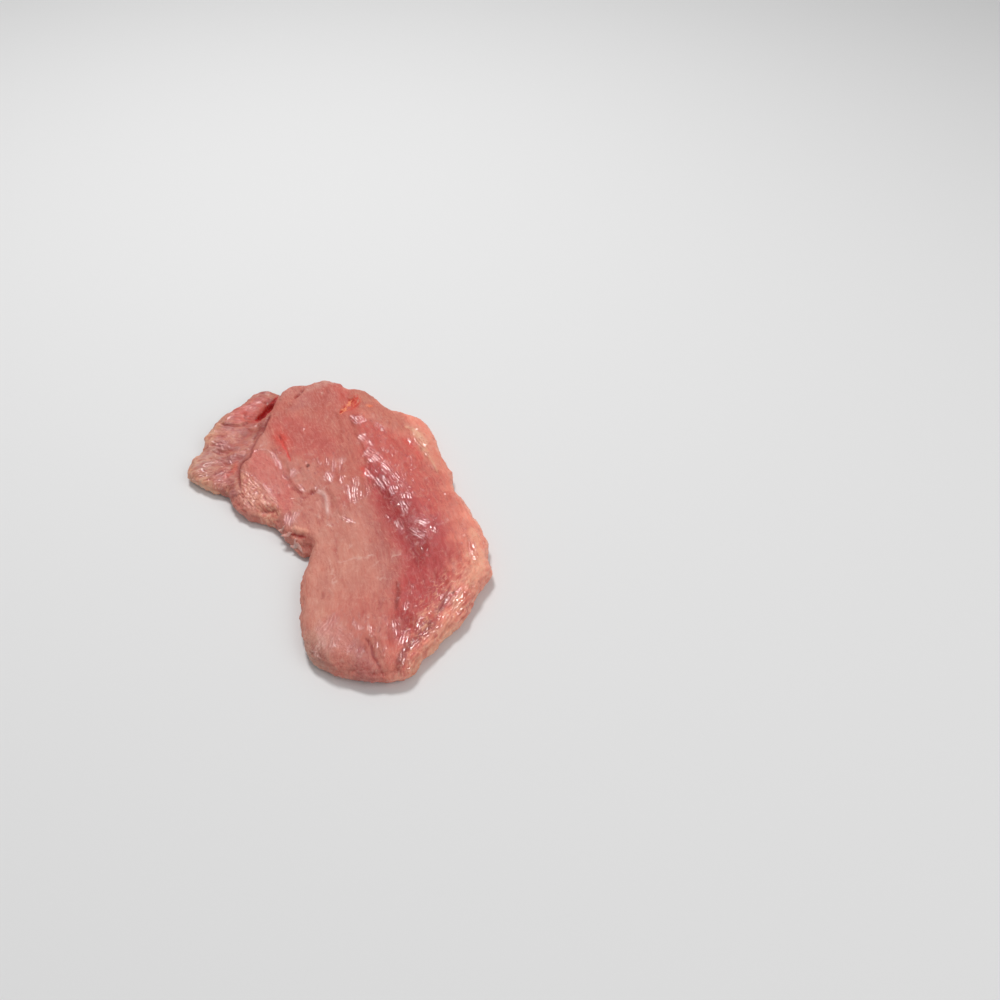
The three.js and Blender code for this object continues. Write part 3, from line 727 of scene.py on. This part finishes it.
def keep_on_mesh(mesh, name, kind, values):
    """Stores a value for every vertex, for the material to read."""
    layer = mesh.attributes.new(name, kind, "POINT")
    layer.data.foreach_set({"FLOAT": "value", "FLOAT_VECTOR": "vector", "FLOAT_COLOR": "color"}[kind],
                           values.astype(np.float32).ravel())


def opaque(colours):
    """Colours with a full share of cover each."""
    return np.hstack([colours, np.ones((len(colours), 1))])


keep_on_mesh(skin_mesh, "tone", "FLOAT_COLOR", opaque(tone))
keep_on_mesh(skin_mesh, "wet", "FLOAT", wet)
keep_on_mesh(skin_mesh, "fibre", "FLOAT_VECTOR", fibre)
keep_on_mesh(skin_mesh, "lean", "FLOAT_VECTOR", lean)
keep_on_mesh(skin_mesh, "strokes", "FLOAT_VECTOR", strokes)


# Raw pork
# Moist muscle lets light in a little way and glistens where juice stands on it, as a clear coat over small
# ridges. Fine bundles, darker veins and paler sheaths follow the fibres.
raw_pork = bpy.data.materials.new("raw_pork")
raw_pork.use_nodes = True
tree = raw_pork.node_tree
shader = tree.nodes["Principled BSDF"]


def node(kind, sockets=(), **settings):
    """A shader node with its settings, and with plain numbers in its named or numbered sockets."""
    made = tree.nodes.new("ShaderNode" + kind)
    for name, value in settings.items():
        setattr(made, name, value)
    for socket, value in dict(sockets).items():
        if isinstance(value, bpy.types.NodeSocket):
            tree.links.new(value, made.inputs[socket])
        else:
            made.inputs[socket].default_value = value
    return made


def stretched(scale, frame_of=None):
    """The places in the fibres' frame, or in another, with each axis scaled."""
    return node("VectorMath", {0: frame_of or fibre_of, 1: scale}, operation="MULTIPLY").outputs[0]


def speckle(scale, detail, roughness=0.5, frame_of=None):
    """Noise from 0 to 1 along the fibres, or in another frame. At a scale of 1 a grain is about a mm."""
    return node("TexNoise", {"Vector": stretched(scale, frame_of), "Scale": 1.0, "Detail": detail,
                             "Roughness": roughness}).outputs["Fac"]


def spread(value, low, high, least, most):
    """A value between low and high, laid out again between least and most."""
    return node("MapRange", {"Value": value, "From Min": low, "From Max": high, "To Min": least,
                             "To Max": most}).outputs["Result"]


def thin_lines(pattern, level, width, strength):
    """Lines where a pattern passes a level, as strong as said at their middle."""
    off = node("Math", {0: pattern, 1: level}, operation="SUBTRACT").outputs[0]
    off = node("Math", {0: off}, operation="ABSOLUTE").outputs[0]
    return spread(off, 0.0, width, strength, 0.0)


def times(first, second):
    return node("Math", {0: first, 1: second}, operation="MULTIPLY").outputs[0]


def plus(first, second):
    return node("Math", {0: first, 1: second}, operation="ADD").outputs[0]


def tinted(colour, share, over, blend="MIX"):
    """A colour with another laid over it, or multiplied with it, by a share."""
    opaque_over = (*over, 1)
    return node("Mix", {0: share, 6: colour, 7: opaque_over}, data_type="RGBA", blend_type=blend).outputs[2]


tone_of = node("Attribute", attribute_name="tone").outputs["Color"]
wet_of = node("Attribute", attribute_name="wet").outputs["Fac"]
fibre_of = node("Attribute", attribute_name="fibre").outputs["Vector"]
lean_of = node("Attribute", attribute_name="lean").outputs["Vector"]
strokes_of = node("Attribute", attribute_name="strokes").outputs["Vector"]

patchy = speckle((0.09, 0.05, 0.09), 2.0)
sheaths = thin_lines(speckle((0.34, 0.1, 0.34), 3.0, 0.55), 0.5, 0.018, 0.5)
sheaths = times(sheaths, spread(patchy, 0.4, 0.56, 0.0, 1.0))
sheaths = times(sheaths, spread(wet_of, 0.18, 0.32, 0.5, 0.15))
colour = tinted(tone_of, sheaths, shade(228, 186, 170))
veins = thin_lines(speckle((0.55, 0.16, 0.55), 4.0, 0.6), 0.47, 0.03, 0.9)
veins = times(veins, spread(patchy, 0.62, 0.46, 0.0, 1.0))
veins = times(veins, spread(wet_of, 0.05, 0.16, 0.75, 1.0))
colour = tinted(colour, veins, (0.86, 0.60, 0.58), "MULTIPLY")
blots = speckle((0.55, 0.45, 0.55), 5.0, 0.66)
colour = tinted(colour, spread(blots, 0.44, 0.66, 0.0, 0.6), (0.93, 0.76, 0.76), "MULTIPLY")
colour = tinted(colour, spread(blots, 0.44, 0.26, 0.0, 0.4), shade(226, 176, 158))
threads = speckle((1.5, 0.17, 1.5), 4.0, 0.6)
colour = tinted(colour, spread(threads, 0.5, 0.3, 0.0, 0.32), (0.86, 0.68, 0.66), "MULTIPLY")
colour = tinted(colour, spread(threads, 0.5, 0.72, 0.0, 0.2), shade(232, 186, 168))
lumps = speckle((0.3, 0.12, 0.3), 5.0, 0.62)
colour = tinted(colour, spread(lumps, 0.4, 0.66, 0.0, 0.4), (0.93, 0.72, 0.72), "MULTIPLY")

RIDGE_SPACING = 1.2
RIDGE_RISE = 0.085
BREAK_RISE = 0.3
PHASE_PER_UNIT = 20
ridges = node("TexWave", {"Vector": stretched((1.0, 0.25, 1.0), strokes_of),
                          "Scale": math.tau / PHASE_PER_UNIT / RIDGE_SPACING, "Distortion": 4.2,
                          "Detail": 1.0, "Detail Scale": 1.6, "Detail Roughness": 0.5}).outputs["Fac"]
breaks = speckle((0.8, 0.32, 0.8), 1.5, frame_of=strokes_of)
wettest = spread(wet_of, RIDGES_FROM, RIDGES_FULL, 0.0, 1.0)
# Between the wet ridges the colour is painted darker, as shade in their troughs.
trough_shade = times(spread(ridges, 0.55, 0.1, 0.0, 0.45), wettest)
colour = tinted(colour, trough_shade, (0.76, 0.42, 0.42), "MULTIPLY")
colour = tinted(colour, times(wettest, 0.5), (0.90, 0.62, 0.62), "MULTIPLY")
tree.links.new(colour, shader.inputs["Base Color"])

grain = speckle((1.2, 0.7, 1.2), 3.0, 0.6)
grain_rise = times(spread(wet_of, 0.08, 0.35, 0.28, 0.38), spread(wet_of, 0.4, 0.9, 1.0, 0.12))
broken_ridges = plus(times(ridges, RIDGE_RISE), times(breaks, BREAK_RISE))
relief = plus(times(broken_ridges, wettest), times(grain, grain_rise))
rough_skin = node("Bump", {"Strength": 1.0, "Distance": MM, "Height": relief}).outputs["Normal"]
tree.links.new(rough_skin, shader.inputs["Normal"])
lean_way = node("VectorTransform", {"Vector": lean_of}, vector_type="VECTOR", convert_from="OBJECT",
                convert_to="WORLD").outputs["Vector"]
film = node("VectorMath", {0: lean_way, 1: wettest, 2: rough_skin}, operation="MULTIPLY_ADD").outputs[0]
film = node("VectorMath", {0: film}, operation="NORMALIZE").outputs[0]
tree.links.new(film, shader.inputs["Coat Normal"])

tree.links.new(spread(wet_of, 0.08, 0.8, 0.0, 0.85), shader.inputs["Coat Weight"])
tree.links.new(spread(wet_of, 0.0, 0.5, 0.72, 0.5), shader.inputs["Roughness"])
for socket, value in (("Specular IOR Level", 0.35), ("Subsurface Weight", 0.35),
                      ("Subsurface Scale", 0.8 * MM), ("Subsurface Radius", (1.0, 0.4, 0.3)),
                      ("Coat Roughness", 0.04)):
    shader.inputs[socket].default_value = value
meat.data.materials.clear()
meat.data.materials.append(raw_pork)
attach(meat, "root")
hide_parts("schnitzel")


# Loose membranes
# Four short shreds of sinew stick out where the muscles were torn apart, at the corner by the notch. Each
# is a flattened cord with thin ends, which follows the skin nearest to it and stands clear of it in its
# middle.
SIDES = 8
SHRED_ENDS = 0.25
THIN_END = 0.12
SHRED_WETNESS = 0.45
SHRED_COVER = 0.85
SEARCH_MARGIN = 1.0
shown = np.flatnonzero(facing[:, 2] > 0.3)
strip_places, strip_faces, strip_tones, strip_wets = [], [], [], []


def strip(points, width, thick, lift, colour):
    """A cord along a line on the surface, lifted clear of it at its middle, with thin ends."""
    line = smooth_line(points, 6)
    along = np.linspace(0, 1, len(line))
    grown = THIN_END + (1 - THIN_END) * faded(along, SHRED_ENDS)
    way = np.gradient(line, axis=0)
    side = np.stack([-way[:, 1], way[:, 0]], 1) / np.hypot(*way.T)[:, None]
    first = sum(len(ring) for ring in strip_places)
    for at, across, wide, rise in zip(line, side, width * grown, lift * np.sin(np.pi * along)):
        turn = np.arange(SIDES) * 2 * np.pi / SIDES
        ring = at + np.outer(np.cos(turn) * wide / 2, across)
        close = shown[(np.abs(places[shown, :2] - at) < width + SEARCH_MARGIN).all(1)]
        under = close[((places[close, None, :2] - ring) ** 2).sum(2).argmin(0)]
        near = under[0]
        level = places[under, 2] + rise + np.sin(turn) * thick / 2 * wide / width
        strip_places.append(np.column_stack([ring, np.maximum(level, 0)]))
        # Each ring takes the shred's full colour on its upper side and more of the meat's tone below,
        # painted light and shade.
        lit = np.clip(0.75 + 0.5 * np.sin(turn), 0, 1)[:, None]
        strip_tones.append(tone[near] + lit * SHRED_COVER * (colour - tone[near]))
        strip_wets.append(np.full(SIDES, SHRED_WETNESS))
    for row in range(len(line) - 1):
        for spot in range(SIDES):
            here = first + row * SIDES
            there = here + SIDES
            after = (spot + 1) % SIDES
            strip_faces.append((here + spot, here + after, there + after, there + spot))
    strip_faces.append([first + spot for spot in reversed(range(SIDES))])
    strip_faces.append([first + (len(line) - 1) * SIDES + spot for spot in range(SIDES)])


strip([(-9.4, -23.1), (-11.5, -20.4), (-13.7, -19.8), (-15.6, -19.4)], 1.2, 0.7, 0.3, shade(222, 188, 178))
strip([(-14.6, -15.6), (-17.4, -16.0), (-19.6, -15.2)], 1.5, 0.6, 0.3, shade(226, 184, 172))
strip([(-12.2, -17.6), (-13.2, -19.0), (-12.6, -20.8)], 1.3, 0.6, 0.4, shade(224, 180, 170))
strip([(-17.6, -11.8), (-19.8, -12.6), (-21.4, -12.0)], 1.1, 0.5, 0.2, shade(228, 190, 176))

strips_mesh = bpy.data.meshes.new("membranes")
strips_mesh.from_pydata((np.vstack(strip_places) * MM).tolist(), [], strip_faces)
for polygon in strips_mesh.polygons:
    polygon.use_smooth = True
membranes = bpy.data.objects.new("membranes", strips_mesh)
bpy.context.scene.collection.objects.link(membranes)
strips_mesh.materials.append(raw_pork)
keep_on_mesh(strips_mesh, "tone", "FLOAT_COLOR", opaque(np.vstack(strip_tones)))
keep_on_mesh(strips_mesh, "wet", "FLOAT", np.concatenate(strip_wets))
for name in ("fibre", "strokes"):
    keep_on_mesh(strips_mesh, name, "FLOAT_VECTOR", np.vstack(strip_places))
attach(membranes, "root")


# The studio
# A plain pale floor and three soft lamps: a bright one above and behind, a broad weak one at the right, and
# a small weak one in front.
REACH = 3.0
FLOOR_LEVEL = -0.1 * MM
floor_mesh = bpy.data.meshes.new("floor")
CORNERS = ((-REACH, -REACH), (REACH, -REACH), (REACH, REACH), (-REACH, REACH))
floor_mesh.from_pydata([(*corner, FLOOR_LEVEL) for corner in CORNERS], [], [(0, 1, 2, 3)])
floor = bpy.data.objects.new("floor", floor_mesh)
bpy.context.scene.collection.objects.link(floor)
pale = bpy.data.materials.new("pale_floor")
pale.use_nodes = True
pale_shader = pale.node_tree.nodes["Principled BSDF"]
pale_shader.inputs["Base Color"].default_value = (0.77, 0.77, 0.77, 1)
pale_shader.inputs["Roughness"].default_value = 0.8
floor_mesh.materials.append(pale)


def soft_light(name, spot, size, power):
    """A round lamp with a soft cover, aimed at the slice."""
    data = bpy.data.lights.new(name, "AREA")
    data.shape = "DISK"
    data.size = size
    data.energy = power
    light = bpy.data.objects.new(name, data)
    bpy.context.scene.collection.objects.link(light)
    aim = Vector(spot).to_track_quat("Z", "Y").to_matrix().to_4x4()
    light.matrix_world = Matrix.Translation(spot) @ aim


soft_light("key", KEY_PLACE, 0.28, 6.5)
soft_light("fill", (0.75, -0.45, 0.75), 0.9, 3.2)
soft_light("front", (0.25, -1.0, 0.9), 0.12, 0.45)
world = bpy.data.worlds.new("studio")
world.use_nodes = True
background = world.node_tree.nodes["Background"]
background.inputs["Color"].default_value = (1, 1, 1, 1)
background.inputs["Strength"].default_value = 0.35
bpy.context.scene.world = world
bpy.context.scene.view_settings.view_transform = "Standard"
